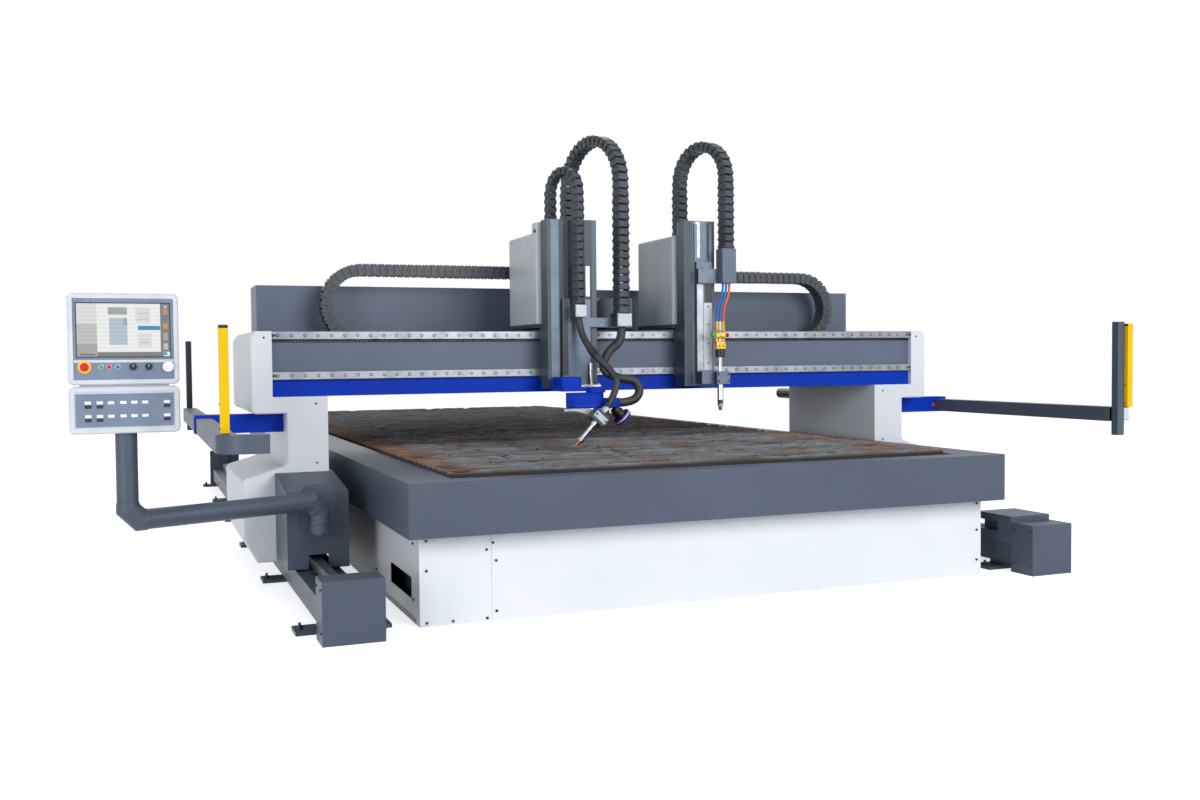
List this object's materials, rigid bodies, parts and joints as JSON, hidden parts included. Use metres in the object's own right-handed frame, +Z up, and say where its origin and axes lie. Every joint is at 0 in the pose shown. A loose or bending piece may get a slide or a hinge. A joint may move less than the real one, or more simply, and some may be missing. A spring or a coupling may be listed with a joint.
{
  "type": "gantry CNC cutting machine",
  "caption": "Gantry CNC cutting machine with a slatted table, floor rails, bevel plasma and oxy-fuel stations, energy chains, light barriers and a swinging operator console.",
  "frame": {"origin": "centre of the table on the floor", "axes": "+X to the operator's right, +Y away from the operator along the rails, +Z up"},
  "size_m": [6.2042, 8.11, 2.8403],
  "materials": {
    "table_grey": "satin",
    "panel_white": "satin",
    "signal_blue": "satin",
    "barrier_yellow": "satin",
    "black_metal": "satin",
    "bearer_steel": "matt",
    "slat_steel": "oxidised",
    "rail_steel": "ground",
    "station_grey": "satin",
    "column_alloy": "anodised",
    "torch_steel": "machined",
    "valve_brass": "machined",
    "chain_black": "moulded",
    "hose_rubber": "matt",
    "console_grey": "satin",
    "screen_glass": "lit",
    "keypad_blue": "membrane",
    "stop_red": "gloss",
    "lamp_green": "gloss",
    "lamp_blue": "gloss",
    "knob_black": "satin",
    "knob_white": "satin"
  },
  "bodies": {
    "bed": {"bed_beams": "bearer_steel", "tray": "table_grey", "slat_combs": "bearer_steel", "slats": "slat_steel", "front_panel": "panel_white", "base_panels": "panel_white", "rail_beds": "table_grey", "running_rails": "rail_steel", "rail_end_boxes": "table_grey", "rear_end_stops": "black_metal"},
    "gantry": {"beam": "table_grey", "beam_skirt": "signal_blue", "guide_rails": "rail_steel", "back_cabinet": "table_grey", "leg_covers": "panel_white", "left_carriage": "table_grey", "right_carriage": "table_grey", "barrier_brackets": "signal_blue", "barrier_arms": "table_grey", "front_barriers": "barrier_yellow", "rear_guards": "black_metal", "left_cross_chain": "chain_black", "right_cross_chain": "chain_black"},
    "front_axle": {"front_wheels": "rail_steel"},
    "rear_axle": {"rear_wheels": "rail_steel"},
    "console_swing": {"console_arm": "table_grey"},
    "console_head": {"console_lower": "console_grey", "console_upper": "console_grey", "console_screen": "screen_glass", "keypad": "keypad_blue"},
    "estop": {"estop_button": "stop_red"},
    "green": {"green_button": "lamp_green"},
    "red": {"red_button": "stop_red"},
    "blue": {"blue_button": "lamp_blue"},
    "selector_a": {"left_selector": "knob_black"},
    "selector_b": {"right_selector": "knob_black"},
    "override": {"speed_knob": "knob_white"},
    "bevel_station": {"bevel_carriage": "column_alloy", "bevel_column": "column_alloy", "bevel_cover": "station_grey", "drive_hood": "black_metal", "main_lift_chain": "chain_black", "small_lift_chain": "chain_black"},
    "bevel_lift": {"bevel_ram": "column_alloy", "bevel_gearbox": "signal_blue", "torch_hoses": "hose_rubber"},
    "bevel_turn": {"bevel_rotator": "signal_blue", "tilt_quadrant": "rail_steel"},
    "torch_tilt": {"torch_clamp": "black_metal", "plasma_torch": "torch_steel"},
    "oxy_station": {"oxy_carriage": "column_alloy", "oxy_column": "column_alloy", "oxy_cover": "station_grey", "oxy_chain": "chain_black"},
    "oxy_lift": {"oxy_ram": "column_alloy", "oxy_chain_cover": "table_grey", "oxy_torch": "torch_steel", "valve_block": "valve_brass", "gas_hoses": "hose_rubber"},
    "gas_valve": {"valve_knob": "stop_red"}
  },
  "joints": [
    {"name": "gantry_travel", "type": "slide", "parent": "bed", "child": "gantry", "axis": [0, 1, 0], "range_m": [-0.55, 4.4]},
    {"name": "front_wheel_roll", "type": "hinge", "parent": "gantry", "child": "front_axle", "pos_m": [0, -2.723, 0.3153], "axis": [1, 0, 0], "range_deg": [-3171, 414]},
    {"name": "rear_wheel_roll", "type": "hinge", "parent": "gantry", "child": "rear_axle", "pos_m": [0, -0.96, 0.3153], "axis": [1, 0, 0], "range_deg": [-3171, 414]},
    {"name": "console_swing_hinge", "type": "hinge", "parent": "gantry", "child": "console_swing", "pos_m": [-2.138, -3.07, 0.445], "axis": [0, 0, 1], "range_deg": [-28, 8]},
    {"name": "console_turn", "type": "hinge", "parent": "console_swing", "child": "console_head", "pos_m": [-3.13123, -3.4916, 1.017], "axis": [0, 0, 1], "range_deg": [-45, 45]},
    {"name": "estop_press", "type": "slide", "parent": "console_head", "child": "estop", "axis": [0, 1, 0], "range_m": [0, 0.005], "stiffness_N_per_m": 900},
    {"name": "green_press", "type": "slide", "parent": "console_head", "child": "green", "axis": [0, 1, 0], "range_m": [0, 0.003], "stiffness_N_per_m": 500},
    {"name": "red_press", "type": "slide", "parent": "console_head", "child": "red", "axis": [0, 1, 0], "range_m": [0, 0.003], "stiffness_N_per_m": 500},
    {"name": "blue_press", "type": "slide", "parent": "console_head", "child": "blue", "axis": [0, 1, 0], "range_m": [0, 0.003], "stiffness_N_per_m": 500},
    {"name": "selector_a_turn", "type": "hinge", "parent": "console_head", "child": "selector_a", "pos_m": [-3.09223, -3.5586, 1.339], "axis": [0, 1, 0], "range_deg": [-45, 45]},
    {"name": "selector_b_turn", "type": "hinge", "parent": "console_head", "child": "selector_b", "pos_m": [-3.02122, -3.5586, 1.339], "axis": [0, 1, 0], "range_deg": [-45, 45]},
    {"name": "override_turn", "type": "hinge", "parent": "console_head", "child": "override", "pos_m": [-2.93222, -3.5586, 1.339], "axis": [0, 1, 0], "range_deg": [-150, 150]},
    {"name": "bevel_travel", "type": "slide", "parent": "gantry", "child": "bevel_station", "axis": [1, 0, 0], "range_m": [-0.9, 0.1], "deforming": ["left_cross_chain"]},
    {"name": "bevel_lift_slide", "type": "slide", "parent": "bevel_station", "child": "bevel_lift", "axis": [0, 0, 1], "range_m": [-0.02, 0.2], "deforming": ["main_lift_chain", "small_lift_chain"]},
    {"name": "bevel_turn_hinge", "type": "hinge", "parent": "bevel_lift", "child": "bevel_turn", "pos_m": [-0.386, -2.845, 1.144], "axis": [0, 0, 1], "range_deg": [-90, 90], "deforming": ["torch_hoses"]},
    {"name": "torch_tilt_hinge", "type": "hinge", "parent": "bevel_turn", "child": "torch_tilt", "pos_m": [-0.57, -2.955, 0.815], "axis": [0, 1, 0], "range_deg": [-46, 4], "deforming": ["torch_hoses"]},
    {"name": "oxy_travel", "type": "slide", "parent": "gantry", "child": "oxy_station", "axis": [1, 0, 0], "range_m": [-0.1, 0.7], "deforming": ["right_cross_chain"]},
    {"name": "oxy_lift_slide", "type": "slide", "parent": "oxy_station", "child": "oxy_lift", "axis": [0, 0, 1], "range_m": [-0.2, 0.1], "deforming": ["oxy_chain"]},
    {"name": "gas_valve_turn", "type": "hinge", "parent": "oxy_lift", "child": "gas_valve", "pos_m": [0.615, -2.7, 1.506], "axis": [1, 0, 0], "range_deg": [-170, 170]}
  ],
  "couplings": [
    {"joint": "front_wheel_roll", "follows": "gantry_travel", "rad_per_m": -12.5},
    {"joint": "rear_wheel_roll", "follows": "gantry_travel", "rad_per_m": -12.5}
  ]
}
